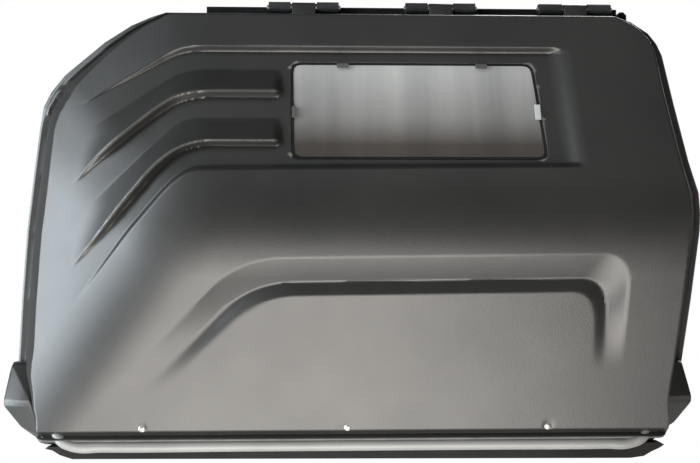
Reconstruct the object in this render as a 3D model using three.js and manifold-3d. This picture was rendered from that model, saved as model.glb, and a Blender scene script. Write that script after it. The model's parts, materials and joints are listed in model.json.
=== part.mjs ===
// Air filter housing: a moulded cover with an inspection window, hinged along its top edge on a rear
// base that holds a pleated panel filter. Millimetres, +Z up, the cover faces -Y, the back is at Y = 0.
import * as THREE from "three";
import { ConvexGeometry } from "three/addons/geometries/ConvexGeometry.js";
import { mergeVertices } from "three/addons/utils/BufferGeometryUtils.js";
import Module from "manifold-3d";

const wasm = await Module();
wasm.setup();

// ---- driving dimensions ----
const BASE_DEPTH = 76; // back plane to parting plane
const GAP = 0.3; // between pieces that touch
const WALL = 3; // moulded wall of cover
const BASE_WALL = 4;
const FLANGE = 5; // width of the cover's rim
const FLANGE_H = 4;
const BASE_INSET = 6; // base outline inside the cover's rim
const GASKET_T = 2;
const COVER_BOTTOM = -168;
const COVER_TOP = 173.5;
const AXIS_Z = 179.5; // hinge axis
const AXIS_BACK = 4; // hinge axis behind the parting plane
const PIN_R = 2;
const RUN_GAP = 0.05;
const KNUCKLE_R = 4.3;
const BRACKET_X = [-37, 73, 182];
const BRACKET_W = [56, 56, 58];
const SLOT_W = 21;
const FILTER = { x0: -150, x1: 205, z0: -125, z1: 138, front: 6, back: 34 };
const LEDGE = 40; // filter ledge behind the parting plane
const OPENING_INSET = 15;
const RIVET_X = [-159, -4, 149];
const RIVET_Z = -148;
const BUTTON_X = [-161, 216];
const BUTTON_Z = [-72, 62];
const CATCH_X = [-233, 236]; // magnetic catches behind the ears
const CATCH_Z = -132;
const MOUNT_X = [-112, 167];
const MOUNT_Z = [-88, 101];
const OUTLET = { x: 60, z: 5, r: 38, wall: 4, length: 32 };
const INLET = { x0: -70, x1: 70, y0: 12, y1: 34 };
const VALVE = { x: -150, back: 24, r: 8 };

// outline of the cover's rim, anticlockwise seen from the front, as [x, z]
const OUTLINE = [
  [-240, -168], [244, -168], [252, -162], [259, -150], [267.6, -104], [275, -55.5], [282.4, 0], [283, 14],
  [281.6, 31], [273.4, 56], [261, 103], [251.5, 141.6], [247, 151], [240, 159.5], [226, 168.5],
  [211, COVER_TOP], [-145, COVER_TOP], [-158, 169.5], [-173, 163], [-194, 149.5], [-225, 123.5],
  [-236, 110], [-242, 98],
  [-245, 80], [-250, 42], [-255, 0], [-259, -54], [-262, -110], [-257, -140], [-249, -161], [-245, -166.5],
];
// inspection window: top left, top right, bottom right, bottom left
const WINDOW = [[-47.4, 131], [141, 131], [146, 53.5], [-46.6, 53.5]];
const WINDOW_R = 8;
const RECESS = 7; // depth of the panel round the window
const RIB = 8; // rise of each louvre rib above the panel
const SCOOP = 8.5; // depth of the scoop across the lower face
const SCOOP_BEVEL = 18; // width of its upper bevel
const SCOOP_STEP = 5.5; // rise of the step below it
const GROOVE = 4; // depth of the level groove near the lower edge
// planes of the cover: upper face, lower face, and the two planes of the left flank
const UPPER_SLOPE = 0.52;
const UPPER_EDGE_H = 18;
const UPPER_EDGE_Z = 170;
const LOWER_SLOPE = 0.32;
const LOWER_H = 101; // height of the lower face's plane at z = 0
const FLANK_UPPER = { x: -125, slope: 0.26 };
const FLANK_LOWER = { x: -133, z: 12, h: 98, slope: 0.544, lean: -0.114 };
// side walls: rise for each millimetre inwards on the right, left, top and bottom sides
const WALL_SLOPE = { right: 2.9, left: 3.3, top: 5, bottom: 9, corner: -3.4 };
const CORNER_RIM = 6; // the rim is wider at the cut-off top left corner
const CORNER_BLEND = 3; // how softly the side walls turn from one side to the next

// ---- plain mathematics ----
const clamp = (v, a, b) => Math.min(Math.max(v, a), b);
const ramp = (a, b, v) => clamp((v - a) / (b - a), 0, 1);
function smooth(a, b, v) {
  const t = ramp(a, b, v);
  return t * t * (3 - 2 * t);
}
function smin(a, b, k) {
  const d = Math.max(k - Math.abs(a - b), 0);
  return Math.min(a, b) - (d * d) / (4 * k);
}
/** Height of a line of points [x, z] at x, level beyond its ends. */
function lineAt(points, x) {
  if (x <= points[0][0]) return points[0][1];
  for (let i = 1; i < points.length; i += 1) {
    if (x <= points[i][0]) {
      const t = (x - points[i - 1][0]) / (points[i][0] - points[i - 1][0]);
      return points[i - 1][1] + t * (points[i][1] - points[i - 1][1]);
    }
  }
  return points[points.length - 1][1];
}
/** Moves every side of an anticlockwise polygon inwards by d. */
function inset(poly, d) {
  const n = poly.length;
  return poly.map((p, i) => {
    const a = poly[(i + n - 1) % n];
    const b = poly[(i + 1) % n];
    const u = new THREE.Vector2(p[0] - a[0], p[1] - a[1]).normalize();
    const v = new THREE.Vector2(b[0] - p[0], b[1] - p[1]).normalize();
    const m = new THREE.Vector2(-u.y - v.y, u.x + v.x).normalize();
    const s = d / (m.x * -u.y + m.y * u.x);
    return [p[0] + m.x * s, p[1] + m.y * s];
  });
}
/** Distance inside the polygon, and the outward normal of the sides nearby, blended into each other. */
function sideOf(poly, x, z) {
  const sides = poly.map((p, i) => {
    const q = poly[(i + 1) % poly.length];
    const ex = q[0] - p[0];
    const ez = q[1] - p[1];
    const t = clamp(((x - p[0]) * ex + (z - p[1]) * ez) / (ex * ex + ez * ez), 0, 1);
    const len = Math.hypot(ex, ez);
    return { d: Math.hypot(x - p[0] - t * ex, z - p[1] - t * ez), nx: ez / len, nz: -ex / len };
  });
  const nearest = Math.min(...sides.map((side) => side.d));
  const normal = new THREE.Vector2();
  sides.forEach((side) => {
    const weight = Math.exp((nearest - side.d) / CORNER_BLEND);
    normal.add(new THREE.Vector2(side.nx, side.nz).multiplyScalar(weight));
  });
  normal.normalize();
  return { d: nearest, nx: normal.x, nz: normal.y };
}
/** Left and right limits of a polygon at height z. */
function spanAt(poly, z) {
  const xs = [];
  poly.forEach((p, i) => {
    const q = poly[(i + 1) % poly.length];
    if (Math.abs(q[1] - p[1]) < 1e-9) {
      if (Math.abs(z - p[1]) < 1e-6) xs.push(p[0], q[0]);
      return;
    }
    const t = (z - p[1]) / (q[1] - p[1]);
    if (t >= -1e-9 && t <= 1 + 1e-9) xs.push(p[0] + t * (q[0] - p[0]));
  });
  return [Math.min(...xs), Math.max(...xs)];
}

// ---- the cover's outer surface: height above the parting plane ----
const GROOVE_TOP = [
  [-204, 98.5], [-193, 106], [-174, 119], [-160, 128.5], [-141, 141.8], [-129, 144.5], [-116, 145],
];
const GROOVE_LOW = [[-204, 98], [-184, 109.6], [-167, 117.4], [-150, 126], [-130, 137], [-116, 138.6]];
const CREASE_1 = [[-204, 75], [-179, 91], [-149.5, 111.4], [-133, 121.4], [-119, 124.5]];
const EDGE_1 = [
  [-209, 36.5], [-190, 59.6], [-164, 81.5], [-148, 95], [-135, 104], [-123.6, 106.8], [-107, 107.8],
];
const FOOT_1 = [
  [-209, 35], [-181, 59.5], [-164, 74.6], [-148, 86.4], [-135, 95], [-123, 99.2], [-107, 101.3],
];
const CREASE_2 = [[-211, 5.6], [-138.7, 75.8], [-130.7, 82.8], [-118, 85.6]];
const EDGE_2 = [
  [-215, -32], [-189, -1], [-168, 25.7], [-149, 48.7], [-136, 60.1], [-125, 65.2], [-113, 68.4],
];
const FOOT_2 = [
  [-215, -33], [-189, -7], [-161, 25.6], [-145, 45], [-132.6, 56.8], [-119.7, 62], [-105, 63.3],
];
const CREASE_3 = [
  [-208, -54], [-167, -0.4], [-136.4, 35], [-130, 40.3], [-124, 44.2], [-119, 46.8], [-48, 47.7], [150, 49.5],
];
const LOUVRES = [
  { crease: CREASE_1, edge: EDGE_1, foot: FOOT_1 },
  { crease: CREASE_2, edge: EDGE_2, foot: FOOT_2 },
];

/** Panel round the window, with the louvre ribs that run out to points on the left flank. */
function panelOffset(x, z) {
  const fade = smooth(-206, -140, x);
  if (fade <= 0) return 0;
  const right = 1 - smooth(154 + 0.04 * (120 - z), 171 + 0.04 * (120 - z), x);
  const top = smooth(lineAt(GROOVE_TOP, x) + 0.5, lineAt(GROOVE_LOW, x) - 0.5, z);
  const bottom = smooth(lineAt(CREASE_3, x) - 2, lineAt(CREASE_3, x) + 2, z);
  const ribEnd = 1 - smooth(-60, -52, x);
  const ribs = LOUVRES.map(({ crease, edge, foot }) => {
    const brow = lineAt(edge, x);
    return ramp(lineAt(crease, x), brow, z) * ramp(lineAt(foot, x), brow, z);
  });
  return fade * (-RECESS * top * bottom * right + RIB * ribEnd * (ribs[0] + ribs[1]));
}
/** Scoop across the lower face: a bevel down to a valley and a short step up to the lower panel. */
function scoopOffset(x, z) {
  const fromTop = -18.5 + 0.012 * x - z;
  const fromRight = 203.7 - x;
  const fromLeft = 0.711 * (x + 89) - 0.703 * (z + 24.5);
  const s = smin(smin(fromTop, fromRight, 26), fromLeft, 22);
  if (s <= 0) return 0;
  const bevel = -SCOOP * ramp(0, SCOOP_BEVEL, s);
  const step = SCOOP_STEP * smooth(SCOOP_BEVEL + 1, SCOOP_BEVEL + 10, s);
  return (bevel + step) * smooth(-150, -50, z);
}
/** Inner face of the skin's recesses: it clears the panel and the scoop without following each rib. */
function innerOffset(x, z) {
  const low = lineAt(CREASE_3, x);
  const panel = smooth(-216, -190, x) * (1 - smooth(182, 198, x)) * smooth(low - 16, low - 6, z);
  const scoopAcross = smooth(-175, -130, x) * (1 - smooth(205, 216, x));
  const scoopDown = (1 - smooth(-16, -6, z)) * smooth(-150, -70, z);
  return -(RECESS + 1) * panel - SCOOP * scoopAcross * scoopDown;
}
/** Height of the front faces without the side walls. */
function faceHeight(x, z, offset) {
  const upper = UPPER_EDGE_H + UPPER_SLOPE * (UPPER_EDGE_Z - z);
  const lower = LOWER_H + LOWER_SLOPE * z;
  const middle = smin(upper, lower, 34);
  const flankUpper = upper + FLANK_UPPER.slope * (x - FLANK_UPPER.x);
  const f = FLANK_LOWER;
  const flankLower = f.h + f.slope * (x - f.x) + f.lean * (z - f.z);
  const flank = smin(flankUpper, flankLower, 18);
  return smin(middle, flank, 5 + 19 * smooth(60, -40, z)) + offset;
}
/** Height of the cover's skin; t > 0 gives the inner face of a wall t thick. */
function coverHeight(x, z, t = 0) {
  const side = sideOf(OUTLINE, x, z);
  const corner = Math.max(-side.nx, 0) * Math.max(side.nz, 0); // the cut-off top left corner
  const slope =
    WALL_SLOPE.right * Math.max(side.nx, 0) ** 2 +
    WALL_SLOPE.left * Math.min(side.nx, 0) ** 2 +
    WALL_SLOPE.top * Math.max(side.nz, 0) ** 2 +
    WALL_SLOPE.bottom * Math.min(side.nz, 0) ** 2 +
    WALL_SLOPE.corner * corner;
  const rim = FLANGE * (1 - Math.max(side.nz, 0) ** 4) + CORNER_RIM * corner;
  const wall = FLANGE_H + slope * (side.d - rim - t);
  const groove = GROOVE * smooth(-149, -151.5, z) * smooth(-157.5, -155, z);
  const offset = t > 0 ? innerOffset(x, z) - 1.25 * t : panelOffset(x, z) + scoopOffset(x, z) - groove;
  const body = smin(faceHeight(x, z, offset), wall, 3);
  return t > 0 ? body : Math.max(body, FLANGE_H);
}

// ---- solids ----
const front = (h) => -BASE_DEPTH - h; // Y of a point h in front of the parting plane
function toManifold(geometry) {
  const g = geometry.clone();
  g.deleteAttribute("normal");
  g.deleteAttribute("uv");
  const merged = mergeVertices(g, 1e-4);
  const mesh = new wasm.Mesh({
    numProp: 3,
    vertProperties: new Float32Array(merged.attributes.position.array),
    triVerts: new Uint32Array(merged.index.array),
  });
  mesh.merge();
  return new wasm.Manifold(mesh);
}
function toGeometry(manifold) {
  const mesh = manifold.getMesh();
  const g = new THREE.BufferGeometry();
  g.setAttribute("position", new THREE.BufferAttribute(new Float32Array(mesh.vertProperties), 3));
  g.setIndex(new THREE.BufferAttribute(new Uint32Array(mesh.triVerts), 1));
  const flat = g.toNonIndexed();
  flat.computeVertexNormals();
  return flat;
}
/** Prism of an outline in X and Z, from y0 to y1, with optional holes. */
function prism(poly, y0, y1, holes = []) {
  const shape = new THREE.Shape(poly.map((p) => new THREE.Vector2(p[0], p[1])));
  holes.forEach((h) => shape.holes.push(new THREE.Path(h.map((p) => new THREE.Vector2(p[0], p[1])))));
  const g = new THREE.ExtrudeGeometry(shape, { depth: y1 - y0, bevelEnabled: false });
  g.rotateX(Math.PI / 2);
  g.translate(0, y1, 0);
  return toManifold(g);
}
function box(x0, x1, y0, y1, z0, z1) {
  const g = new THREE.BoxGeometry(x1 - x0, y1 - y0, z1 - z0);
  g.translate((x0 + x1) / 2, (y0 + y1) / 2, (z0 + z1) / 2);
  return toManifold(g);
}
/** Turned solid about an axis: profile of [radius, height], closed on itself or ended on the axis. */
function turned(profile, axis, at, segments = 24) {
  const g = new THREE.LatheGeometry(profile.map((p) => new THREE.Vector2(p[0], p[1])), segments);
  if (axis === "x") g.rotateZ(-Math.PI / 2);
  if (axis === "-y") g.rotateX(Math.PI);
  if (axis === "z") g.rotateX(Math.PI / 2);
  g.translate(at[0], at[1], at[2]);
  return toManifold(g);
}
const rod = (r, length, axis, at, segments = 20) =>
  turned([[0, 0], [r, 0], [r, length], [0, length]], axis, at, segments);
const tube = (r, bore, length, axis, at, segments = 24) =>
  turned([[bore, 0], [r, 0], [r, length], [bore, length], [bore, 0]], axis, at, segments);

/** Polygon with each corner replaced by an arc of about radius r. */
function rounded(poly, r, steps = 3) {
  const n = poly.length;
  const out = [];
  poly.forEach((p, i) => {
    const c = new THREE.Vector2(...p);
    const from = new THREE.Vector2(...poly[(i + n - 1) % n]).sub(c).setLength(r).add(c);
    const to = new THREE.Vector2(...poly[(i + 1) % n]).sub(c).setLength(r).add(c);
    for (let k = 0; k <= steps; k += 1) {
      const t = k / steps;
      const q = from.clone().multiplyScalar((1 - t) ** 2);
      q.add(c.clone().multiplyScalar(2 * t * (1 - t))).add(to.clone().multiplyScalar(t * t));
      out.push([q.x, q.y]);
    }
  });
  return out;
}

// grid of the cover's skin: rows at the levels where the surface bends, columns that follow the rim
const EDGE_STEPS = [0, 4.9, 6.5, 9, 13, 19, 26, 34];
const COLUMNS = [
  -240, -233, -224, -214, -203, -192, -181, -170, -160, -150, -140, -131, -123, -115, -100, -80, -60, -52,
  -20, 30, 80, 120, 145, 156, 165, 175, 184, 192, 200, 207, 215, 223, 231, 238, 244, 250,
];
const INNER_COLUMNS = COLUMNS.filter((x, i) => i % 2 === 0);
const ROWS = [
  -168, -163, -162, -160, -157, -155, -151.5, -149, -135, -115, -90, -70, -58, -48, -38, -28, -18, -9,
  0, 10, 21, 33, 44, 50, 57, 63.3, 68.4, 77, 85.6, 94, 101.3, 107.8, 116, 124.5, 132, 138.6, 145, 150,
  155, 160, 164, 167, 169, 170.8, 172.2, COVER_TOP,
];
/** Columns of one row: level in the middle, following the rim near both ends. */
function rowColumns(poly, columns, z) {
  const [left, right] = spanAt(poly, z);
  const last = EDGE_STEPS.length - 1;
  const step = (j) => (j <= last ? EDGE_STEPS[j] : EDGE_STEPS[last] + (j - last) * 1.5);
  const n = columns.length;
  return columns.map((x, j) => {
    if (j === 0) return left;
    if (j === n - 1) return right;
    return clamp(x, left + step(j), right - step(n - 1 - j));
  });
}
/** Closed solid between a flat back at height h0 and a height field over a polygon. */
function fieldSolid(poly, rows, columns, height, h0) {
  const n = columns.length;
  const m = rows.length;
  const positions = [];
  const index = [];
  const grid = rows.map((z) => rowColumns(poly, columns, z));
  rows.forEach((z, i) => grid[i].forEach((x) => positions.push(x, front(height(x, z)), z)));
  rows.forEach((z, i) => grid[i].forEach((x) => positions.push(x, front(h0), z)));
  const id = (layer, i, j) => layer * n * m + i * n + j;
  const quad = (a, b, c, d) => index.push(a, b, c, a, c, d);
  for (let i = 0; i < m - 1; i += 1) {
    for (let j = 0; j < n - 1; j += 1) {
      quad(id(0, i, j), id(0, i, j + 1), id(0, i + 1, j + 1), id(0, i + 1, j));
      quad(id(1, i, j), id(1, i + 1, j), id(1, i + 1, j + 1), id(1, i, j + 1));
    }
  }
  for (let j = 0; j < n - 1; j += 1) {
    quad(id(1, 0, j), id(1, 0, j + 1), id(0, 0, j + 1), id(0, 0, j));
    quad(id(0, m - 1, j), id(0, m - 1, j + 1), id(1, m - 1, j + 1), id(1, m - 1, j));
  }
  for (let i = 0; i < m - 1; i += 1) {
    quad(id(0, i, 0), id(0, i + 1, 0), id(1, i + 1, 0), id(1, i, 0));
    quad(id(1, i, n - 1), id(1, i + 1, n - 1), id(0, i + 1, n - 1), id(0, i, n - 1));
  }
  const g = new THREE.BufferGeometry();
  g.setAttribute("position", new THREE.BufferAttribute(new Float32Array(positions), 3));
  g.setIndex(index);
  return toManifold(g);
}

// ---- nodes ----
const root = new THREE.Group();
root.name = "air_filter_housing";
const FINISH = {
  cover_plastic: { color: 0x2e2f2f, roughness: 0.6 },
  base_plastic: { color: 0x191a1a, roughness: 0.7 },
  black_steel: { color: 0x0f0f10, roughness: 0.45, metalness: 0.6 },
  steel: { color: 0xa9adb0, roughness: 0.35, metalness: 0.9 },
  rubber: { color: 0x141414, roughness: 0.85 },
  trim_plastic: { color: 0x4a4a48, roughness: 0.4 },
  clear_plastic: { color: 0x9aa3a6, roughness: 0.1, transparent: true, opacity: 0.35 },
  filter_paper: { color: 0xd8cfb8, roughness: 0.95 },
  filter_frame: { color: 0x3a3a3a, roughness: 0.6 },
};
function node(name, solid, finish) {
  const mesh = new THREE.Mesh(toGeometry(solid), new THREE.MeshStandardMaterial(FINISH[finish]));
  mesh.name = name;
  root.add(mesh);
}
const union = (...solids) => solids.reduce((a, b) => a.add(b));

// window plane: the pane, its gasket and its clips lie in a plane that leans with the upper face
const windowY = (z) => front(UPPER_EDGE_H + UPPER_SLOPE * (UPPER_EDGE_Z - z) - RECESS);
/** Prism of an outline, from lift a to lift b off the window panel. */
function windowPrism(poly, a, b, holes = []) {
  return prism(poly, -b, -a, holes).warp((v) => {
    v[1] += windowY(v[2]);
  });
}
const windowHole = rounded([...WINDOW].reverse(), WINDOW_R);

// -- cover --
const innerOutline = inset(OUTLINE, FLANGE + WALL);
const ROW_MARGIN = 9;
const innerRows = ROWS.filter((z, i) => {
  const inside = z > COVER_BOTTOM + ROW_MARGIN && z < COVER_TOP - ROW_MARGIN;
  return inside && (i % 2 === 0 || z > WINDOW[0][1] + ROW_MARGIN);
});
const innerSpan = [COVER_BOTTOM + FLANGE + WALL, ...innerRows, COVER_TOP - FLANGE - WALL];
const shell = fieldSolid(OUTLINE, ROWS, COLUMNS, (x, z) => coverHeight(x, z), 0);
const hollow = fieldSolid(
  innerOutline, innerSpan, INNER_COLUMNS, (x, z) => Math.max(coverHeight(x, z, WALL), 0.5), -2,
);

/** Finger-grip ear at a lower corner, a wedge with a level ridge; side is -1 or 1. */
function ear(side) {
  const at = (x, z, h) => new THREE.Vector3(side * x, front(h), z);
  return toManifold(
    new ConvexGeometry([
      at(244, -99, 2), at(266, -103, 2), at(269, -111, 2), at(271, -131, 2), at(260, -151, 2),
      at(247, -164, 2), at(238, -164, 2), at(246, -103, 14), at(264, -104, 16), at(246, -129, 36),
      at(267, -129, 31),
      at(267, -134, 30), at(246, -134, 35), at(256, -151, 22), at(240, -160, 20),
    ]),
  );
}
const AXIS_Y = -BASE_DEPTH + AXIS_BACK;
/** Moulded knuckle arm that carries the cover on a hinge pin. */
function knuckle(x) {
  const w = SLOT_W / 2 - 1;
  const barrel = rod(KNUCKLE_R, 2 * w, "x", [x - w, AXIS_Y, AXIS_Z], 20);
  return barrel.add(box(x - w, x + w, front(FLANGE_H), AXIS_Y - 1, COVER_TOP - 4, AXIS_Z));
}
let cover = shell.subtract(hollow);
cover = union(cover, ear(1), ear(-1), ...BRACKET_X.map(knuckle));
cover = cover.subtract(windowPrism(windowHole, -14, 14));
BRACKET_X.forEach((x) => {
  cover = cover.subtract(rod(PIN_R + RUN_GAP, SLOT_W + 6, "x", [x - SLOT_W / 2 - 3, AXIS_Y, AXIS_Z], 16));
});
const RIVET_HEAD_R = 3.4;
const RIVET_R = 2.2;
const rivetSeat = (x) => coverHeight(x, RIVET_Z) - 1.8;
RIVET_X.forEach((x) => {
  cover = cover.subtract(rod(RIVET_HEAD_R + 0.9, 8, "-y", [x, front(rivetSeat(x)), RIVET_Z], 16));
  cover = cover.subtract(rod(RIVET_R + GAP, 16, "-y", [x, front(rivetSeat(x) - 9), RIVET_Z], 12));
});
const CATCH_R = 6; // strike plates and magnets
const STRIKE_T = 1.5;
const MAGNET_T = 4;
const STRIKE_H = 0.4; // strike plate's face in front of the parting plane
CATCH_X.forEach((x) => {
  const from = STRIKE_H + STRIKE_T + GAP;
  const depth = coverHeight(x, CATCH_Z, WALL) + 1.5;
  cover = cover.add(rod(CATCH_R + 1, depth, "-y", [x, front(from), CATCH_Z], 16));
});

// -- bottom trim bead: a round bar in a groove along the cover's lower edge --
const TRIM_R = 4.6;
const TRIM_PATH = [
  [-225, -150, 39], [-221, -158, 44], [-212, -162.5, 45], [-110, -163, 45], [0, -163, 45], [110, -163, 45],
  [216, -163, 45], [225, -159, 44], [229, -151, 39],
];
function trimBar(r, segments) {
  const path = new THREE.CatmullRomCurve3(TRIM_PATH.map(([x, z, h]) => new THREE.Vector3(x, front(h), z)));
  const disc = new THREE.Shape().absarc(0, 0, r, 0, 2 * Math.PI);
  const settings = { steps: 30, extrudePath: path, curveSegments: segments, bevelEnabled: false };
  return toManifold(new THREE.ExtrudeGeometry(disc, settings));
}
cover = cover.subtract(trimBar(TRIM_R + GAP, 6));
node("front_cover", cover, "cover_plastic");
CATCH_X.forEach((x, i) => {
  const side = i === 0 ? "left" : "right";
  node(`strike_plate_${side}`, rod(CATCH_R, STRIKE_T, "-y", [x, front(STRIKE_H), CATCH_Z], 16), "steel");
  node(`catch_magnet_${side}`, rod(CATCH_R, MAGNET_T, "-y", [x, front(-MAGNET_T), CATCH_Z], 16), "steel");
});
node("bottom_trim_bead", trimBar(TRIM_R, 6), "trim_plastic");
RIVET_X.forEach((x, i) => {
  const head = [
    [0, -7], [RIVET_R, -7], [RIVET_R, 0.3], [RIVET_HEAD_R, 0.3], [3.1, 1.2], [1.9, 1.9], [0, 2.2],
  ];
  node(`trim_rivet_${i + 1}`, turned(head, "-y", [x, front(rivetSeat(x)), RIVET_Z], 12), "black_steel");
});

// -- window --
const SEAL_W = 1.5; // width of the rubber round the pane
const sealHole = inset(windowHole, GAP + SEAL_W);
node("window_gasket", windowPrism(inset(windowHole, GAP), -4.5, 0.4, [sealHole]), "rubber");
node("window_pane", windowPrism(inset(windowHole, 2 * GAP + SEAL_W), -3.5, -0.3), "clear_plastic");
const WINDOW_CLIPS = {
  window_clip_top_left: [-11.5, -2.5, 126.6, 130],
  window_clip_top_right: [96, 105, 126.6, 130],
  window_clip_left: [-46.4, -43.2, 86, 95],
  window_clip_right: [138.8, 143, 85, 97],
};
Object.entries(WINDOW_CLIPS).forEach(([name, [x0, x1, z0, z1]]) => {
  const clip = windowPrism([[x0, z0], [x1, z0], [x1, z1], [x0, z1]], 0.7, 2.4);
  node(name, clip, name === "window_clip_right" ? "clear_plastic" : "base_plastic");
});

// -- drip lip: a rubber strip along the cover's lower edge --
const LIP = [
  [-236, COVER_BOTTOM - GAP], [-239, -169.8], [-233.5, -171], [-227.5, -174.8], [-218, -178], [223, -180.5],
  [234, -179], [240, -175.5], [246.5, -172.6], [250.5, -170], [247, COVER_BOTTOM - GAP],
];
node("drip_lip", prism(LIP, front(14), front(0.5)), "rubber");

// -- rear base --
const baseOutline = inset(OUTLINE, BASE_INSET);
const baseFront = -BASE_DEPTH + GASKET_T + 2 * GAP;
const ledgeY = -BASE_DEPTH + LEDGE;
let base = prism(baseOutline, baseFront, 0);
base = base.subtract(prism(inset(OUTLINE, BASE_INSET + BASE_WALL), baseFront - 1, ledgeY));
base = base.subtract(
  box(
    FILTER.x0 + OPENING_INSET, FILTER.x1 - OPENING_INSET, ledgeY - 1, -BASE_WALL,
    FILTER.z0 + OPENING_INSET, FILTER.z1 - OPENING_INSET,
  ),
);
base = base.subtract(rod(OUTLET.r + GAP, 12, "y", [OUTLET.x, -6, OUTLET.z], 32));
base = base.subtract(
  box(
    INLET.x0, INLET.x1, -BASE_DEPTH + INLET.y0, -BASE_DEPTH + INLET.y1, COVER_BOTTOM - 2, COVER_BOTTOM + 16,
  ),
);
base = base.subtract(rod(VALVE.r + GAP, 20, "z", [VALVE.x, -BASE_DEPTH + VALVE.back, COVER_BOTTOM - 2], 20));
const POST_R = 6;
const SCREW_R = 2;
const buttonPosts = BUTTON_X.flatMap((x) => BUTTON_Z.map((z) => [x, z]));
buttonPosts.forEach(([x, z]) => {
  base = base.add(rod(POST_R, LEDGE + FILTER.front + 1, "-y", [x, ledgeY + 1, z], 16));
  base = base.subtract(rod(SCREW_R + GAP, 14, "-y", [x, front(FILTER.front - 12), z], 12));
});
CATCH_X.forEach((x) => {
  base = base.add(rod(CATCH_R + 1.5, LEDGE - MAGNET_T - GAP + 1, "-y", [x, ledgeY + 1, CATCH_Z], 16));
});
const mountPoints = MOUNT_X.flatMap((x) => MOUNT_Z.map((z) => [x, z]));
const GROMMET_R = 7; // grommet's waist in the rear wall
const SLEEVE_R = 5;
mountPoints.forEach(([x, z]) => {
  base = base.subtract(rod(GROMMET_R + GAP, 12, "y", [x, -6, z], 20));
});
node("rear_base", base, "base_plastic");
node(
  "base_gasket",
  prism(baseOutline, front(-GAP), front(-GAP - GASKET_T), [inset(OUTLINE, BASE_INSET + BASE_WALL)]),
  "rubber",
);

// -- hinge --
const RAIL = { x0: -115, x1: 218, z0: COVER_TOP - BASE_INSET + GAP, z1: 181, front: 10.3, back: 30 };
const CHEEK_R = 4.6; // bracket cheeks round the pin
const PLATE_T = 1.2;
const railFront = -BASE_DEPTH + RAIL.front;
const rail = box(RAIL.x0, RAIL.x1, railFront, -BASE_DEPTH + RAIL.back, RAIL.z0, RAIL.z1);
node("hinge_rail", rail, "base_plastic");
BRACKET_X.forEach((x, i) => {
  const w = BRACKET_W[i] / 2;
  const y1 = railFront - GAP;
  const plate = box(x - w, x + w, y1 - PLATE_T, y1, RAIL.z0 + 1, RAIL.z1 + 2.6);
  const cheek = (x0, x1) => {
    const round = rod(CHEEK_R, x1 - x0, "x", [x0, AXIS_Y, AXIS_Z], 20);
    return round.add(box(x0, x1, AXIS_Y, y1 - 0.5, AXIS_Z - CHEEK_R, AXIS_Z + CHEEK_R));
  };
  let bracket = union(plate, cheek(x - w, x - SLOT_W / 2), cheek(x + SLOT_W / 2, x + w));
  bracket = bracket.subtract(rod(PIN_R + RUN_GAP, 2 * w + 2, "x", [x - w - 1, AXIS_Y, AXIS_Z], 16));
  node(`hinge_bracket_${i + 1}`, bracket, "black_steel");
  node(`hinge_pin_${i + 1}`, rod(PIN_R, 2 * w + 3, "x", [x - w - 1.5, AXIS_Y, AXIS_Z], 16), "steel");
});
const HOOK = { z: 170.5, depth: 14 };
const hookPath = [[0, 0], [8, 0], [8, 6], [5.5, 8.5], [2.5, 8.5], [0, 6]];
const hookOutline = hookPath.map(([x, z]) => [RAIL.x1 + GAP + x, HOOK.z + z]);
node("corner_hook", prism(hookOutline, railFront, railFront + HOOK.depth), "base_plastic");

// -- filter --
const F = FILTER;
const frameY0 = front(F.front);
const frameY1 = -BASE_DEPTH + F.back;
const rect = (d) => [
  [F.x0 + d, F.z0 + d], [F.x1 - d, F.z0 + d], [F.x1 - d, F.z1 - d], [F.x0 + d, F.z1 - d],
];
const FRAME_W = 6; // width of the filter's moulded frame
const PLEAT_PITCH = 8.6;
const PAPER = 5; // paper's thickness measured along Y, across the steep folds
node("filter_frame", prism(rect(0), frameY0, frameY1, [rect(FRAME_W)]), "filter_frame");
node("filter_seal", prism(rect(1), frameY1 + GAP, ledgeY - GAP, [rect(10)]), "rubber");
/** Pleated sheet: a zigzag in X and Y, drawn up in Z. */
function pleats() {
  const x0 = F.x0 + FRAME_W + GAP;
  const x1 = F.x1 - FRAME_W - GAP;
  const count = Math.round((x1 - x0) / (PLEAT_PITCH / 2));
  const line = [];
  for (let i = 0; i <= count; i += 1) {
    line.push([x0 + ((x1 - x0) * i) / count, i % 2 === 0 ? frameY0 + 2 : frameY1 - PAPER - 1]);
  }
  const shape = new THREE.Shape([
    ...line.map((p) => new THREE.Vector2(p[0], p[1])),
    ...line.reverse().map((p) => new THREE.Vector2(p[0], p[1] + PAPER)),
  ]);
  const height = F.z1 - F.z0 - 2 * (FRAME_W + GAP);
  const g = new THREE.ExtrudeGeometry(shape, { depth: height, bevelEnabled: false });
  g.translate(0, 0, F.z0 + FRAME_W + GAP);
  return toManifold(g);
}
node("filter_media", pleats(), "filter_paper");
const BUTTON_T = 3;
buttonPosts.forEach(([x, z], i) => {
  const inward = x < 0 ? 1 : -1;
  const y0 = front(F.front + GAP);
  const bar = [[-5, -5], [19, -5], [19, 5], [-5, 5]].map(([a, b]) => [x + inward * a, z + b]);
  const arm = prism(inward > 0 ? bar : bar.reverse(), y0 - BUTTON_T, y0);
  const bore = rod(SCREW_R + 0.35, 8, "-y", [x, y0 + 2, z], 12);
  node(`filter_button_${i + 1}`, arm.subtract(bore), "base_plastic");
  const seat = BUTTON_T + 0.4;
  const screw = [[0, -12], [SCREW_R, -12], [SCREW_R, seat], [4.6, seat], [4.2, 5.2], [0, 5.6]];
  node(`button_screw_${i + 1}`, turned(screw, "-y", [x, y0, z], 12), "steel");
});

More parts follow.
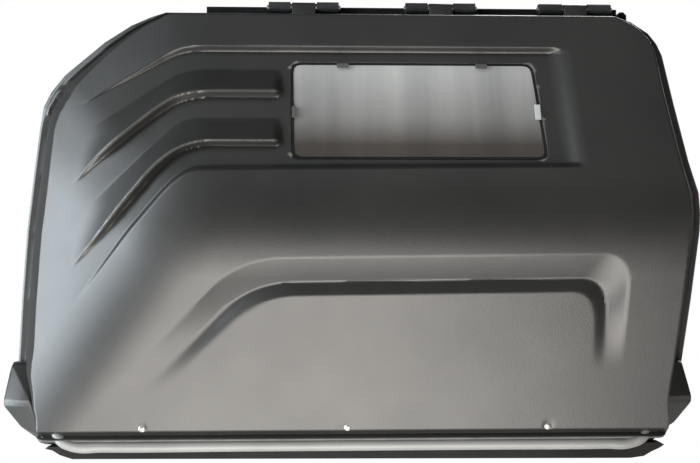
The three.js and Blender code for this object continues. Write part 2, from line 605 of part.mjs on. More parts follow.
// -- ducts and mounting --
const spigotBore = OUTLET.r - OUTLET.wall;
const behindWall = -BASE_WALL - GAP;
const spigot = [
  [spigotBore, -8], [OUTLET.r + 6, -8], [OUTLET.r + 6, behindWall], [OUTLET.r, behindWall], [OUTLET.r, 24],
  [OUTLET.r + 1.5, 26], [OUTLET.r, 29], [OUTLET.r - 1, OUTLET.length], [spigotBore, OUTLET.length],
  [spigotBore, -8],
];
node("outlet_spigot", turned(spigot, "y", [OUTLET.x, 0, OUTLET.z], 32), "base_plastic");
const collarY0 = -BASE_DEPTH + INLET.y0;
const collarY1 = -BASE_DEPTH + INLET.y1;
const baseBottom = COVER_BOTTOM + BASE_INSET;
const collarEnd = baseBottom - 10;
/** Box round the inlet, its four sides moved out by d. */
const inletBox = (d, z0, z1) => box(INLET.x0 - d, INLET.x1 + d, collarY0 - d, collarY1 + d, z0, z1);
const collar = inletBox(4, collarEnd, baseBottom - GAP);
const collarBore = inletBox(-1, collarEnd - 1, baseBottom + 1);
node("inlet_collar", collar.subtract(collarBore), "base_plastic");
const valveProfile = [
  [6, BASE_WALL], [6, -5], [3.4, -14], [5, -14], [VALVE.r - 0.5, -5], [11, -3.5], [11, -GAP], [VALVE.r, -GAP],
  [VALVE.r, BASE_WALL], [6, BASE_WALL],
];
const valveAt = [VALVE.x, -BASE_DEPTH + VALVE.back, baseBottom];
node("dust_valve", turned(valveProfile, "z", valveAt, 16), "rubber");
mountPoints.forEach(([x, z], i) => {
  const grommet = [
    [SLEEVE_R + GAP, -7], [10, -7], [10, behindWall], [GROMMET_R, behindWall], [GROMMET_R, -GAP],
    [SLEEVE_R + GAP, -GAP], [SLEEVE_R + GAP, -7],
  ];
  node(`mount_grommet_${i + 1}`, turned(grommet, "y", [x, 0, z], 20), "rubber");
  node(`mount_sleeve_${i + 1}`, tube(SLEEVE_R, 3.4, 8, "y", [x, -8, z], 20), "steel");
});

export default root;
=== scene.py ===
"""Looks of the air filter housing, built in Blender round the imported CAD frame. Lengths are metres."""

import json
import math

import bmesh
import bpy
import numpy as np
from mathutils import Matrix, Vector


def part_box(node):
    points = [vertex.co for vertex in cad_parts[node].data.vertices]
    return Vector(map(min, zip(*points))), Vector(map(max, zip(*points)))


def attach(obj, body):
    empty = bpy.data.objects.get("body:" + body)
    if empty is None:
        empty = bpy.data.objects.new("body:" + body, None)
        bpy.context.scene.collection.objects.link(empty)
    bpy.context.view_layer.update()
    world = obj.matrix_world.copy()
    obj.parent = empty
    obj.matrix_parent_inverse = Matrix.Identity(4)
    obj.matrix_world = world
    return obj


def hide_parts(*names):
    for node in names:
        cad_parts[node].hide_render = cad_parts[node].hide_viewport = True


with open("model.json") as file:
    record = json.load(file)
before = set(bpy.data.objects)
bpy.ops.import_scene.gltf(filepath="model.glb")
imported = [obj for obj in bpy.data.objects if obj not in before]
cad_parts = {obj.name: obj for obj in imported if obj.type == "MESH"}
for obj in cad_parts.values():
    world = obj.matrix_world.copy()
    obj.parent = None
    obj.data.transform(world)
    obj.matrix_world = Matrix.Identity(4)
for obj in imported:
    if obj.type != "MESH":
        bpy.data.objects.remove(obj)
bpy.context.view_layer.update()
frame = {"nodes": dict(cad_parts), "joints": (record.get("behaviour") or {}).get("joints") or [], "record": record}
NODES = frame["nodes"]
MM = 0.001
PART_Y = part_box("base_gasket")[0][1] - 0.3 * MM  # parting plane between the base and the cover

# ---------------------------------------------------------------- the cover's surface, in millimetres
# The outline, faces and styling lines of the CAD cover, sampled finely. The ribs, the level groove, the
# groove along the panel's top edge and the scoop are cut more crisply here, so they differ a little from
# the CAD cover. h is the height in front of the parting plane.
FLANGE = 5.0
FLANGE_H = 4.0
COVER_BOTTOM = -168.0
COVER_TOP = 173.5
OUTLINE = np.array(
    [
        (-240, COVER_BOTTOM), (244, COVER_BOTTOM), (252, -162), (259, -150), (267.6, -104), (275, -55.5),
        (282.4, 0), (283, 14), (281.6, 31), (273.4, 56), (261, 103), (251.5, 141.6), (247, 151),
        (240, 159.5), (226, 168.5), (211, COVER_TOP), (-145, COVER_TOP), (-158, 169.5), (-173, 163),
        (-194, 149.5), (-225, 123.5), (-236, 110), (-242, 98), (-245, 80), (-250, 42), (-255, 0),
        (-259, -54), (-262, -110), (-257, -140), (-249, -161), (-245, -166.5),
    ],
    dtype=float,
)
WINDOW = np.array([(-46.6, 53.5), (146, 53.5), (141, 131), (-47.4, 131)], dtype=float)
RECESS = 7.0  # depth of the panel round the window
RIB = 8.0  # rise of each louvre rib above the panel
SCOOP = 8.5  # depth of the scoop across the lower face
SCOOP_BEVEL = 18  # width of its upper bevel
SCOOP_STEP = 6  # rise of the step below it
GROOVE = 5  # depth of the level groove above the trim bead
CORNER_BLEND = 3.0  # how softly the side walls turn from one side to the next
CORNER_RIM = 6  # widens the rim at the cut-off top left corner
BEAD = 1.8  # rise of the bead along that corner's rim
# rise of each side wall per millimetre inward; the corner's is taken off where two walls blend
WALL_SLOPE = {"right": 2.9, "left": 3.3, "top": 5, "bottom": 9, "corner": -3.4}
GROOVE_TOP = [
    (-204, 98.5), (-193, 106), (-174, 119), (-160, 128.5), (-141, 141.8), (-129, 144.5), (-116, 145),
]
GROOVE_LOW = [(-204, 98), (-184, 109.6), (-167, 117.4), (-150, 126), (-130, 137), (-116, 138.6)]
CREASE_1 = [(-204, 75), (-179, 91), (-149.5, 111.4), (-133, 121.4), (-119, 124.5)]
EDGE_1 = [(-209, 36.5), (-190, 59.6), (-164, 81.5), (-148, 95), (-135, 104), (-123.6, 106.8), (-107, 107.8)]
FOOT_1 = [(-209, 35), (-181, 59.5), (-164, 74.6), (-148, 86.4), (-135, 95), (-123, 99.2), (-107, 101.3)]
CREASE_2 = [(-211, 5.6), (-138.7, 75.8), (-130.7, 82.8), (-118, 85.6)]
EDGE_2 = [(-215, -32), (-189, -1), (-168, 25.7), (-149, 48.7), (-136, 60.1), (-125, 65.2), (-113, 68.4)]
FOOT_2 = [(-215, -33), (-189, -7), (-161, 25.6), (-145, 45), (-132.6, 56.8), (-119.7, 62), (-105, 63.3)]
CREASE_3 = [
    (-208, -54), (-167, -0.4), (-136.4, 35), (-130, 40.3), (-124, 44.2), (-119, 46.8), (-48, 47.7),
    (150, 49.5),
]


def ramp(a, b, v):
    return np.clip((v - a) / (b - a), 0, 1)


def smooth(a, b, v):
    t = ramp(a, b, v)
    return t * t * (3 - 2 * t)


def smin(a, b, k):
    d = np.maximum(k - np.abs(a - b), 0)
    return np.minimum(a, b) - d * d / (4 * k)


def line_at(points, x):
    """Height of a styling line at x: straight between its points, then rounded off a little."""
    xs, zs = np.array(points, dtype=float).T
    reach = np.linspace(-5, 5, 5)
    return sum(np.interp(x + r, xs, zs) for r in reach) / len(reach)


def side_of(x, z):
    """Distance inside the rim, and the outward normal of the sides nearby, blended into each other."""
    distances = []
    normals = []
    for p, q in zip(OUTLINE, np.roll(OUTLINE, -1, axis=0)):
        e = q - p
        length = math.hypot(*e)
        t = np.clip(((x - p[0]) * e[0] + (z - p[1]) * e[1]) / length**2, 0, 1)
        distances.append(np.hypot(x - p[0] - t * e[0], z - p[1] - t * e[1]))
        normals.append((e[1] / length, -e[0] / length))
    best = np.min(distances, axis=0)
    weights = [np.exp((best - d) / CORNER_BLEND) for d in distances]
    nx = sum(w * normal[0] for w, normal in zip(weights, normals))
    nz = sum(w * normal[1] for w, normal in zip(weights, normals))
    size = np.hypot(nx, nz)
    return best, nx / size, nz / size


def panel_offset(x, z):
    """Recessed panel round the window with the louvre ribs that run out to points on the left flank."""
    fade = smooth(-213, -176, x)
    right = 1 - smooth(154 + 0.04 * (120 - z), 171 + 0.04 * (120 - z), x)
    lip_middle = (line_at(GROOVE_TOP, x) + line_at(GROOVE_LOW, x)) / 2
    lip_half = 0.3 + 0.35 * (line_at(GROOVE_TOP, x) - line_at(GROOVE_LOW, x))
    top = smooth(lip_middle + lip_half, lip_middle - lip_half, z)
    bottom = smooth(line_at(CREASE_3, x) - 2, line_at(CREASE_3, x) + 2, z)
    rib_end = 1 - smooth(-60, -52, x)
    ribs = 0
    for crease, edge, foot in ((CREASE_1, EDGE_1, FOOT_1), (CREASE_2, EDGE_2, FOOT_2)):
        brow = line_at(edge, x)
        up = ramp(line_at(crease, x), brow, z)
        ribs = ribs + up * ramp(0.15, 0.8, ramp(line_at(foot, x), brow, z))
    slow_fade = smooth(-216, -118, x)
    return -RECESS * slow_fade * top * bottom * right + RIB * fade * rib_end * ribs


def scoop_offset(x, z):
    """Scoop across the lower face: a bevel down to a valley and a short step up to the lower panel."""
    from_top = -18.5 + 0.012 * x - z
    from_left = 0.711 * (x + 89) - 0.703 * (z + 24.5)
    from_right = 1.3 * (201.5 - x)
    s = smin(smin(from_top, from_right, 26), from_left, 22)
    shape = -SCOOP * ramp(0, SCOOP_BEVEL, s) + SCOOP_STEP * ramp(SCOOP_BEVEL + 0.5, SCOOP_BEVEL + 10, s)
    return shape * smooth(-128 + 22 * smooth(110, 180, x), -36, z)


def cover_faces(x, z):
    """Heights of the front faces, of the side walls that cut them off, and of the corner rim's bead."""
    upper = 18 + 0.52 * (170 - z)
    lower = 101 + 0.32 * z
    front = smin(upper, lower, 34)
    flank_upper = upper + 0.26 * (x + 125)
    flank_lower = 98 + 0.544 * (x + 133) - 0.114 * (z - 12)
    flank = smin(flank_upper, flank_lower, 18)
    groove = GROOVE * smooth(-150.3, -154, z) * smooth(-157.8, -154.3, z)
    face = smin(front, flank, 5 + 19 * smooth(60, -40, z)) + panel_offset(x, z) + scoop_offset(x, z) - groove
    d, nx, nz = side_of(x, z)
    corner = np.maximum(-nx, 0) * np.maximum(nz, 0)  # the cut-off top left corner
    slope = (
        WALL_SLOPE["right"] * np.maximum(nx, 0) ** 2
        + WALL_SLOPE["left"] * np.minimum(nx, 0) ** 2
        + WALL_SLOPE["top"] * np.maximum(nz, 0) ** 2
        + WALL_SLOPE["bottom"] * np.minimum(nz, 0) ** 2
        + WALL_SLOPE["corner"] * corner
    )
    rim = FLANGE * (1 - np.maximum(nz, 0) ** 4) + CORNER_RIM * corner
    bead = BEAD * np.exp(-(((d - rim + 1.6) / 1.2) ** 2)) * smooth(0.1, 0.3, corner)
    return face, FLANGE_H + slope * (d - rim), bead


def cover_height(x, z):
    face, side, bead = cover_faces(x, z)
    return np.maximum(smin(face, side, 2), FLANGE_H) + bead


def at(x, h, z):
    """A point of the cover, given in millimetres, in the frame's metres."""
    return Vector((x * MM, PART_Y - h * MM, z * MM))


# ---------------------------------------------------------------- materials
def new_material(name):
    mat = bpy.data.materials.new(name)
    mat.use_nodes = True
    nodes = mat.node_tree.nodes
    shader = next(n for n in nodes if n.type == "BSDF_PRINCIPLED")
    return mat, nodes, mat.node_tree.links, shader


def noise(nodes, links, scale, detail=4.0, roughness=0.55):
    coords = nodes.new("ShaderNodeTexCoord")
    tex = nodes.new("ShaderNodeTexNoise")
    tex.inputs["Scale"].default_value = scale
    tex.inputs["Detail"].default_value = detail
    tex.inputs["Roughness"].default_value = roughness
    links.new(coords.outputs["Object"], tex.inputs["Vector"])
    return tex


def colour_ramp(nodes, links, source, low, high, first, last):
    node = nodes.new("ShaderNodeValToRGB")
    node.color_ramp.elements[0].position = low
    node.color_ramp.elements[1].position = high
    node.color_ramp.elements[0].color = (*first, 1)
    node.color_ramp.elements[1].color = (*last, 1)
    links.new(source, node.inputs["Fac"])
    return node


def moulded(
    name, dark, light, rough=(0.45, 0.62), grain=900.0, bump=0.12, metallic=0.0, edge_wear_and_highlight=None, specular=0.5
):
    """Moulded or coated surface: mottled colour, fine grain, uneven gloss, and sharp edges lightened partly as
    wear and partly as a painted highlight.
    """
    mat, nodes, links, shader = new_material(name)
    cloud = noise(nodes, links, 9.0)
    colour = colour_ramp(nodes, links, cloud.outputs["Fac"], 0.35, 0.68, dark, light)
    out = colour.outputs["Color"]
    fine = noise(nodes, links, grain, 2.0)
    if edge_wear_and_highlight is not None:
        # Sharp edges, found by pointiness, get a lighter colour in patches: partly edge wear, partly a painted
        # highlight along the edges.
        geometry = nodes.new("ShaderNodeNewGeometry")
        edge = nodes.new("ShaderNodeMapRange")
        edge.inputs["From Min"].default_value = 0.53
        edge.inputs["From Max"].default_value = 0.62
        links.new(geometry.outputs["Pointiness"], edge.inputs["Value"])
        scuff = noise(nodes, links, 60.0, 6.0, 0.7)
        wear_and_highlight_mask = nodes.new("ShaderNodeMath")
        wear_and_highlight_mask.operation = "MULTIPLY"
        links.new(edge.outputs["Result"], wear_and_highlight_mask.inputs[0])
        patchy = nodes.new("ShaderNodeMapRange")
        patchy.inputs["From Min"].default_value = 0.3
        patchy.inputs["From Max"].default_value = 0.7
        patchy.inputs["To Min"].default_value = 0.45
        patchy.inputs["To Max"].default_value = 0.9
        links.new(scuff.outputs["Fac"], patchy.inputs["Value"])
        links.new(patchy.outputs["Result"], wear_and_highlight_mask.inputs[1])
        mix = nodes.new("ShaderNodeMixRGB")
        mix.inputs["Color2"].default_value = (*edge_wear_and_highlight, 1)
        links.new(wear_and_highlight_mask.outputs["Value"], mix.inputs["Fac"])
        links.new(out, mix.inputs["Color1"])
        out = mix.outputs["Color"]
    links.new(out, shader.inputs["Base Color"])
    gloss = nodes.new("ShaderNodeMapRange")
    gloss.inputs["To Min"].default_value = rough[0]
    gloss.inputs["To Max"].default_value = rough[1]
    smudge = noise(nodes, links, 28.0, 5.0)
    links.new(smudge.outputs["Fac"], gloss.inputs["Value"])
    links.new(gloss.outputs["Result"], shader.inputs["Roughness"])
    relief = nodes.new("ShaderNodeBump")
    relief.inputs["Strength"].default_value = bump
    relief.inputs["Distance"].default_value = 0.0006
    links.new(fine.outputs["Fac"], relief.inputs["Height"])
    links.new(relief.outputs["Normal"], shader.inputs["Normal"])
    shader.inputs["Metallic"].default_value = metallic
    shader.inputs["Specular IOR Level"].default_value = specular
    return mat


def clear_pane(name, top, bottom, alpha):
    """Lightly smoked clear plastic, lighter at the top and warm and dark lower down as painted light, shade and
    reflection, with faint streaks and dust.
    """
    mat, nodes, links, shader = new_material(name)
    coords = nodes.new("ShaderNodeTexCoord")
    split = nodes.new("ShaderNodeSeparateXYZ")
    links.new(coords.outputs["Object"], split.inputs["Vector"])
    # The colour runs with height: painted light and reflection at the top, warm painted shade lower down.
    height = nodes.new("ShaderNodeMapRange")
    height.inputs["From Min"].default_value = 0.056
    height.inputs["From Max"].default_value = 0.130
    links.new(split.outputs["Z"], height.inputs["Value"])
    painted_light_gradient = colour_ramp(nodes, links, height.outputs["Result"], 0.12, 0.9, bottom, top)
    middle = painted_light_gradient.color_ramp.elements.new(0.42)
    middle.color = tuple(0.5 * (a + b) for a, b in zip((*bottom, 1), (*top, 1)))
    stretch = nodes.new("ShaderNodeMapping")
    stretch.inputs["Scale"].default_value = (1.0, 0.05, 0.05)
    links.new(coords.outputs["Object"], stretch.inputs["Vector"])
    streak = nodes.new("ShaderNodeTexNoise")
    streak.inputs["Scale"].default_value = 45.0
    streak.inputs["Detail"].default_value = 3.0
    links.new(stretch.outputs["Vector"], streak.inputs["Vector"])
    soft = colour_ramp(nodes, links, streak.outputs["Fac"], 0.3, 0.75, (0.72, 0.72, 0.72), (1.12, 1.12, 1.1))
    mix = nodes.new("ShaderNodeMixRGB")
    mix.blend_type = "MULTIPLY"
    mix.inputs["Fac"].default_value = 1.0
    links.new(painted_light_gradient.outputs["Color"], mix.inputs["Color1"])
    links.new(soft.outputs["Color"], mix.inputs["Color2"])
    links.new(mix.outputs["Color"], shader.inputs["Base Color"])
    dust = noise(nodes, links, 700.0, 2.0)
    gloss = nodes.new("ShaderNodeMapRange")
    gloss.inputs["To Min"].default_value = 0.04
    gloss.inputs["To Max"].default_value = 0.14
    links.new(dust.outputs["Fac"], gloss.inputs["Value"])
    links.new(gloss.outputs["Result"], shader.inputs["Roughness"])
    shader.inputs["Alpha"].default_value = alpha
    return mat


# Its lighter edge colour is mostly a painted highlight along creases and edges, partly wear.
COVER = moulded(
    "cover_plastic", (0.010, 0.010, 0.0095), (0.016, 0.0155, 0.0145), (0.35, 0.44), 900, 0.14,
    edge_wear_and_highlight=(0.16, 0.16, 0.15),
)
# Duller copy of the cover plastic, with weaker gloss and no lightened edges, for the steep side walls: painted
# shade where the walls turn from the light.
COVER_WALL_SHADE = moulded(
    "cover_wall_painted_shade", (0.010, 0.010, 0.009), (0.020, 0.019, 0.017), (0.45, 0.6), 420, 0.4, specular=0.3
)
BASE = moulded(
    "base_plastic", (0.014, 0.014, 0.014), (0.026, 0.026, 0.025), (0.45, 0.65), 800, 0.15,
    edge_wear_and_highlight=(0.08, 0.08, 0.08),
)
# Near-black copy of the base plastic, with weak gloss: painted shade on the hinge strip.
RAIL_PAINTED_SHADE = moulded(
    "rail_plastic_painted_shade", (0.002, 0.002, 0.002), (0.006, 0.006, 0.006), (0.5, 0.7), 800, 0.15,
    edge_wear_and_highlight=(0.02, 0.02, 0.02), specular=0.06,
)
BLACK_STEEL = moulded(
    "black_steel", (0.002, 0.002, 0.002), (0.005, 0.005, 0.006), (0.4, 0.6), 500, 0.1,
    edge_wear_and_highlight=(0.06, 0.06, 0.06), specular=0.1,
)
RIVET = moulded("rivet_steel", (0.22, 0.22, 0.21), (0.36, 0.36, 0.35), (0.25, 0.4), 500, 0.05, 0.8)
STEEL = moulded("zinc_steel", (0.42, 0.42, 0.41), (0.62, 0.62, 0.6), (0.22, 0.42), 600, 0.08, 1.0)
RUBBER = moulded(
    "rubber", (0.006, 0.006, 0.006), (0.014, 0.014, 0.013), (0.62, 0.85), 600, 0.25, specular=0.15
)
TRIM = moulded(
    "trim_plastic", (0.12, 0.12, 0.115), (0.17, 0.168, 0.162), (0.36, 0.48), 700, 0.08,
    edge_wear_and_highlight=(0.24, 0.24, 0.23),
)
PAPER = moulded("filter_paper", (0.42, 0.36, 0.26), (0.62, 0.55, 0.42), (0.85, 0.97), 1500, 0.5)
FILTER_FRAME = moulded("filter_frame", (0.035, 0.035, 0.035), (0.06, 0.06, 0.058), (0.5, 0.7), 700, 0.2)
# The pane's top colour is painted light and its warm bottom colour painted shade and reflection.
PANE = clear_pane("clear_plastic", (0.37, 0.37, 0.365), (0.045, 0.036, 0.03), 0.88)
CLEAR_CLIP = clear_pane("clear_clip", (0.75, 0.77, 0.78), (0.6, 0.6, 0.6), 0.6)

LOOKS = {
    "cover_plastic": COVER,
    "base_plastic": BASE,
    "black_steel": BLACK_STEEL,
    "steel": STEEL,
    "rubber": RUBBER,
    "trim_plastic": TRIM,
    "clear_plastic": PANE,
    "filter_paper": PAPER,
    "filter_frame": FILTER_FRAME,
}
for entry in frame["record"]["subparts"]:
    NODES[entry["node"]].data.materials.clear()
    NODES[entry["node"]].data.materials.append(LOOKS[entry["material_slot"]])
NODES["window_clip_right"].data.materials[0] = CLEAR_CLIP
# The hinge rail and corner hook take the near-black copy of the base plastic: painted shade.
for name in ("hinge_rail", "corner_hook"):
    NODES[name].data.materials[0] = RAIL_PAINTED_SHADE
for name in ("trim_rivet_1", "trim_rivet_2", "trim_rivet_3"):
    NODES[name].data.materials[0] = RIVET


# ---------------------------------------------------------------- pieces
def make_piece(name, mesh, body, material, smooth_angle):
    """Puts a mesh in the scene as a piece that rides on a CAD body."""
    obj = bpy.data.objects.new(name, mesh)
    bpy.context.scene.collection.objects.link(obj)
    mesh.materials.append(material)
    mesh.polygons.foreach_set("use_smooth", [True] * len(mesh.polygons))
    mesh.set_sharp_from_angle(angle=math.radians(smooth_angle))
    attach(obj, body)
    return obj


def levels(zones):
    """Increasing values from zones of (start, end, step)."""
    out = []
    for start, end, step in zones:
        out.extend(np.arange(start, end, step))
    return out + [zones[-1][1]]


RIM_REACH = 34.0  # how far in from the rim the wall's ends are looked for
RIM_STEP = 0.2


def rim_steps(end, z, inward):
    """Where the flange ends and where the side wall meets the face, measured from the rim along a row."""
    t = np.arange(0.0, RIM_REACH, RIM_STEP)
    face, side, _ = cover_faces(end + inward * t, np.full(t.shape, z))
    foot = np.argmax(side > FLANGE_H)
    crease = np.argmax(side > face)
    return (t[foot], t[crease]) if foot and crease > foot else None


def cover_grid():
    """Columns and rows of the cover's skin: fine where the surface bends, and following the rim's walls."""
    rows = levels(
        [(COVER_BOTTOM, -147, 0.8), (-147, -52, 3), (-52, 150, 1.1), (150, 163, 1.6),
         (163, COVER_TOP, 0.8)]
    )
    columns = np.array(
        levels(
            [(-246, -236, 1), (-236, -216, 1.9), (-216, -100, 1.0), (-100, -40, 1.9), (-40, 138, 4.4),
             (138, 182, 1.7), (182, 260, 2.2)]
        )
    )
    from_left = 0.7 * (1 + np.arange(len(columns)))
    from_right = from_left[::-1]
    ends = []
    steps = []
    for z in rows:
        reach = []
        for p, q in zip(OUTLINE, np.roll(OUTLINE, -1, axis=0)):
            if abs(q[1] - p[1]) < 1e-9:
                reach += [p[0], q[0]] if abs(z - p[1]) < 1e-6 else []
            elif min(p[1], q[1]) - 1e-9 <= z <= max(p[1], q[1]) + 1e-9:
                reach.append(p[0] + (z - p[1]) / (q[1] - p[1]) * (q[0] - p[0]))
        ends.append((min(reach), max(reach)))
        steps.append((rim_steps(min(reach), z, 1), rim_steps(max(reach), z, -1)))
    xs = []
    for i, (left, right) in enumerate(ends):
        sides = []
        for side in (0, 1):  # rows beyond a wall's ends borrow the steps of the nearest row that has them
            known = [k for k in range(len(rows)) if steps[k][side]]
            foot, crease = steps[min(known, key=lambda k: abs(k - i))][side]
            sides.append(np.concatenate([np.linspace(0, foot, 4)[:-1], np.linspace(foot, crease, 10)]))
        inner_left = left + sides[0][-1] + from_left
        inner_right = right - sides[1][-1] - from_right
        middle_x = np.clip(columns, inner_left, inner_right)
        xs.append(np.concatenate([left + sides[0], middle_x, (right - sides[1])[::-1]]))
    x = np.array(xs)
    return x, np.repeat(np.array(rows)[:, None], x.shape[1], axis=1)


def rounded_window(radius=8.0, steps=12, side_step=1.0):
    """The window's outline as closely spaced points with rounded corners."""
    corners = []
    for before, here, after in zip(np.roll(WINDOW, 1, axis=0), WINDOW, np.roll(WINDOW, -1, axis=0)):
        start = here + (before - here) / math.hypot(*(before - here)) * radius
        end = here + (after - here) / math.hypot(*(after - here)) * radius
        for t in np.linspace(0, 1, steps):
            corners.append((1 - t) ** 2 * start + 2 * t * (1 - t) * here + t * t * end)
    points = []
    for p, q in zip(corners, corners[1:] + corners[:1]):
        count = max(1, int(math.hypot(*(q - p)) / side_step))
        points.extend(p + (q - p) * k / count for k in range(count))
    return np.array(points)


def in_window(x, z, outline):
    """True inside the window's outline, by the crossing rule."""
    inside = np.zeros(x.shape, dtype=bool)
    for p, q in zip(outline, np.roll(outline, -1, axis=0)):
        if abs(q[1] - p[1]) > 1e-9:
            crosses = (z < p[1]) != (z < q[1])
            inside ^= crosses & (x < p[0] + (z - p[1]) / (q[1] - p[1]) * (q[0] - p[0]))
    return inside


RIVET_X = [-159, -4, 149]
RIVET_Z = -148
RIVET_R = 2.2
RIVET_BLEND = 1.4  # width of the slope round each rivet's seat
RIVET_DISH = 0.7  # depth of the seat
COVER_WALL = 3  # thickness of the skin


def make_cover():
    x, z = cover_grid()
    m, n = x.shape
    outline = rounded_window()
    keep = ~in_window((x[:-1, :-1] + x[1:, 1:]) / 2, (z[:-1, :-1] + z[1:, 1:]) / 2, outline)
    used = np.zeros((m, n), dtype=int)
    for di in (0, 1):
        for dj in (0, 1):
            used[di : m - 1 + di, dj : n - 1 + dj] += keep
    rim = (used > 0) & (used < 4)
    rim[[0, -1]] = False
    rim[:, [0, -1]] = False
    for i, j in zip(*np.nonzero(rim)):  # the hole's edge is drawn onto the window's outline
        nearest = outline[np.argmin(np.hypot(outline[:, 0] - x[i, j], outline[:, 1] - z[i, j]))]
        x[i, j], z[i, j] = nearest
    h = cover_height(x, z)
    for rx in RIVET_X:  # dished seat under each rivet
        h = h - RIVET_DISH * (1 - smooth(RIVET_R, RIVET_R + RIVET_BLEND, np.hypot(x - rx, z - RIVET_Z)))
    verts = np.stack([x * MM, PART_Y - h * MM, z * MM], axis=-1).reshape(-1, 3)
    i, j = np.nonzero(keep)
    a = i * n + j
    faces = np.stack([a, a + 1, a + n + 1, a + n], axis=-1)
    mesh = bpy.data.meshes.new("cover_skin")
    mesh.from_pydata(verts.tolist(), [], faces.tolist())
    bm = bmesh.new()
    bm.from_mesh(mesh)
    bmesh.ops.delete(bm, geom=[v for v in bm.verts if not v.link_faces], context="VERTS")
    bm.to_mesh(mesh)
    bm.free()
    obj = make_piece("cover_skin", mesh, "cover", COVER, 40)
    mesh.materials.append(COVER_WALL_SHADE)
    face, side, _ = cover_faces((x[:-1, :-1] + x[1:, 1:]) / 2, (z[:-1, :-1] + z[1:, 1:]) / 2)
    # The steep side walls get the duller copy of the cover plastic as painted shade.
    shaded_walls = ((side < face) & (side > FLANGE_H))[keep]
    mesh.polygons.foreach_set("material_index", shaded_walls.astype(int))
    wall = obj.modifiers.new("wall", "SOLIDIFY")
    wall.thickness = COVER_WALL * MM
    wall.offset = -1
    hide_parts("front_cover")


def hull_piece(name, points, bevel, body, material):
    """Convex moulded piece with rounded edges."""
    bm = bmesh.new()
    for p in points:
        bm.verts.new(p)
    bmesh.ops.convex_hull(bm, input=bm.verts)
    bmesh.ops.delete(bm, geom=[v for v in bm.verts if not v.link_faces], context="VERTS")
    bmesh.ops.dissolve_limit(bm, angle_limit=math.radians(2), verts=bm.verts, edges=bm.edges)
    edges = list(bm.edges)
    bmesh.ops.bevel(
        bm, geom=edges, offset=bevel, segments=3, profile=0.5, affect="EDGES", clamp_overlap=True
    )
    mesh = bpy.data.meshes.new(name)
    bm.to_mesh(mesh)
    bm.free()
    return make_piece(name, mesh, body, material, 35)


TRIM_R = 4.6
KNUCKLE_R = 4.2
KNUCKLE_HALF = 9.4  # half its width along the pin
KNUCKLE_SIDES = 24
ARM_DROP = 9  # from the pin's axis down to the foot of the knuckle's arm
ARM_FRONT = 3.6  # the arm's two faces, in front of the parting plane
ARM_BACK = 0.4


def make_ear(side, name):
    """Finger grip at a lower corner, a wedge with a level ridge; side is -1 or 1."""
    corners = [
        (244, 1, -99), (266, 1, -103), (269, 1, -111), (271, 1, -131), (260, 1, -151), (247, 1, -164),
        (238, 1, -164), (246, 14, -103), (264, 16, -104), (246, 36, -129), (267, 31, -129),
        (267, 30, -134), (246, 35, -134), (256, 22, -151), (240, 20, -160),
    ]
    hull_piece(name, [at(side * x, h, z) for x, h, z in corners], 1.4 * MM, "cover", COVER)


def swept(name, path, radius, body, material):
    """Round bar along a smooth path, with domed ends."""
    curve = bpy.data.curves.new(name, "CURVE")
    curve.dimensions = "3D"
    curve.bevel_depth = radius
    curve.bevel_resolution = 8
    curve.use_fill_caps = True
    curve.resolution_u = 16
    spline = curve.splines.new("BEZIER")
    spline.bezier_points.add(len(path) - 1)
    for point, co in zip(spline.bezier_points, path):
        point.co = co
        point.handle_left_type = "AUTO"
        point.handle_right_type = "AUTO"
    temp = bpy.data.objects.new(name + "_path", curve)
    bpy.context.scene.collection.objects.link(temp)
    bpy.context.view_layer.update()
    mesh = bpy.data.meshes.new_from_object(temp)
    bpy.data.objects.remove(temp)
    return make_piece(name, mesh, body, material, 50)


def make_trim():
    """Round bead along the cover's lower edge, turned up at both ends."""
    path = [
        (-226, 40, -149), (-222.5, 44, -156.5), (-212, 45, -162.3), (-190, 45, -163), (-90, 45, -163),
        (0, 45, -163), (110, 45, -163), (195, 45, -163), (215, 45, -162.5), (225, 44, -157.5),
        (229, 40, -150),
    ]
    bead = swept("trim_bead", [at(*point) for point in path], TRIM_R * MM, "cover", TRIM)
    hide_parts("bottom_trim_bead")


def make_knuckle(number):
    """Barrel and arm that carry the cover on a hinge pin, with a softened edge."""
    low, high = (Vector(c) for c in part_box(f"hinge_bracket_{number}"))
    joint = next(j for j in frame["joints"] if j["name"] == "cover_hinge")
    axis = Vector(joint["pos_m"])
    middle = (low.x + high.x) / 2
    half = KNUCKLE_HALF * MM
    radius = KNUCKLE_R * MM
    points = []
    for end in (-half, half):
        for step in range(KNUCKLE_SIDES):
            turn = 2 * math.pi * step / KNUCKLE_SIDES
            y = axis.y + radius * math.cos(turn)
            points.append((middle + end, y, axis.z + radius * math.sin(turn)))
        points.append((middle + end, PART_Y - ARM_FRONT * MM, axis.z - ARM_DROP * MM))
        points.append((middle + end, PART_Y - ARM_BACK * MM, axis.z - ARM_DROP * MM))
    hull_piece(f"cover_knuckle_{number}", points, 0.5 * MM, "cover", COVER)


make_cover()
make_ear(-1, "ear_left")
make_ear(1, "ear_right")
make_trim()
for number in (1, 2, 3):
    make_knuckle(number)


# ---------------------------------------------------------------- studio
def aimed(obj, target):
    obj.rotation_euler = (Vector(target) - obj.location).to_track_quat("-Z", "Y").to_euler()


def soft_light(name, place, target, size, power, colour):
    data = bpy.data.lights.new(name, "AREA")
    data.shape = "RECTANGLE"
    data.size, data.size_y = size
    data.energy = power
    data.color = colour
    lamp = bpy.data.objects.new(name, data)
    bpy.context.scene.collection.objects.link(lamp)
    lamp.location = place
    aimed(lamp, target)


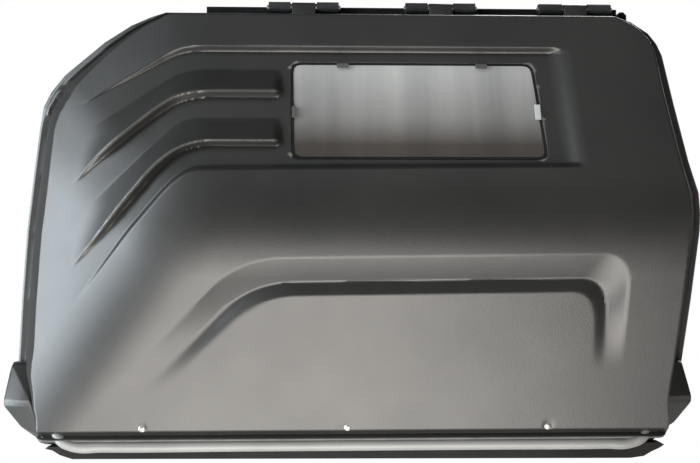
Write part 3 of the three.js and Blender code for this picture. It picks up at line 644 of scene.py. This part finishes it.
def make_floor():
    """Pale floor, below what the main view shows."""
    mesh = bpy.data.meshes.new("floor")
    half = 4.0
    z = -1.15
    corners = [(-half, -half, z), (half, -half, z), (half, half, z), (-half, half, z)]
    mesh.from_pydata(corners, [], [(0, 1, 2, 3)])
    floor = bpy.data.objects.new("floor", mesh)
    bpy.context.scene.collection.objects.link(floor)
    paint = moulded("floor_paint", (0.78, 0.78, 0.77), (0.84, 0.84, 0.83), (0.7, 0.9), 40, 0.05)
    mesh.materials.append(paint)


make_floor()
middle = Vector((0, PART_Y, 0))
WARM = (1.0, 0.95, 0.89)
COOL = (0.84, 0.93, 1.0)
WHITE = (1.0, 1.0, 1.0)
# name, place, target, width and height, watts, colour
SOFT_LIGHTS = [
    ("key_below", (-0.07, PART_Y - 0.88, -0.83), (0, PART_Y - 0.08, -0.06), (0.9, 0.8), 25, WARM),
    ("cool_left", (-1.25, PART_Y - 0.45, -0.16), (-0.2, PART_Y - 0.06, 0), (0.7, 1.4), 50, COOL),
    ("front_low", (-0.1, PART_Y - 1.25, -0.36), (0, PART_Y - 0.08, -0.01), (1.0, 0.3), 5, (1.0, 0.97, 0.93)),
    ("cool_high", (-0.95, PART_Y - 0.5, 0.72), (-0.2, PART_Y - 0.05, 0.08), (0.5, 0.5), 7, (0.88, 0.95, 1.0)),
    ("back_fill", (0.7, 1.1, 0.9), (0, 0, -0.05), (0.9, 0.9), 26, WHITE),
    ("top_soft", (0.1, PART_Y - 0.7, 1.2), (0.05, PART_Y, 0.08), (1.2, 0.8), 2, WHITE),
]
for light in SOFT_LIGHTS:
    soft_light(*light)

WORLD_LIGHT = 0.11  # what lights the object
WORLD_SEEN = 1.0  # plain white behind it
world = bpy.data.worlds.new("studio")
world.use_nodes = True
world_nodes = world.node_tree.nodes
background = world_nodes["Background"]
background.inputs["Color"].default_value = (1.0, 1.0, 1.0, 1)
path = world_nodes.new("ShaderNodeLightPath")
strength = world_nodes.new("ShaderNodeMapRange")
strength.inputs["To Min"].default_value = WORLD_LIGHT
strength.inputs["To Max"].default_value = WORLD_SEEN
world.node_tree.links.new(path.outputs["Is Camera Ray"], strength.inputs["Value"])
world.node_tree.links.new(strength.outputs["Result"], background.inputs["Strength"])
bpy.context.scene.world = world
bpy.context.scene.view_settings.view_transform = "Standard"

CAMERA_LENS = 64.3  # millimetres
CAMERA_X = -0.044
CAMERA_DISTANCE = 1.0  # from the parting plane
camera_data = bpy.data.cameras.new("camera")
camera_data.lens = CAMERA_LENS
camera = bpy.data.objects.new("camera", camera_data)
bpy.context.scene.collection.objects.link(camera)
camera.location = (CAMERA_X, PART_Y - CAMERA_DISTANCE, 0)
aimed(camera, middle)
bpy.context.scene.camera = camera
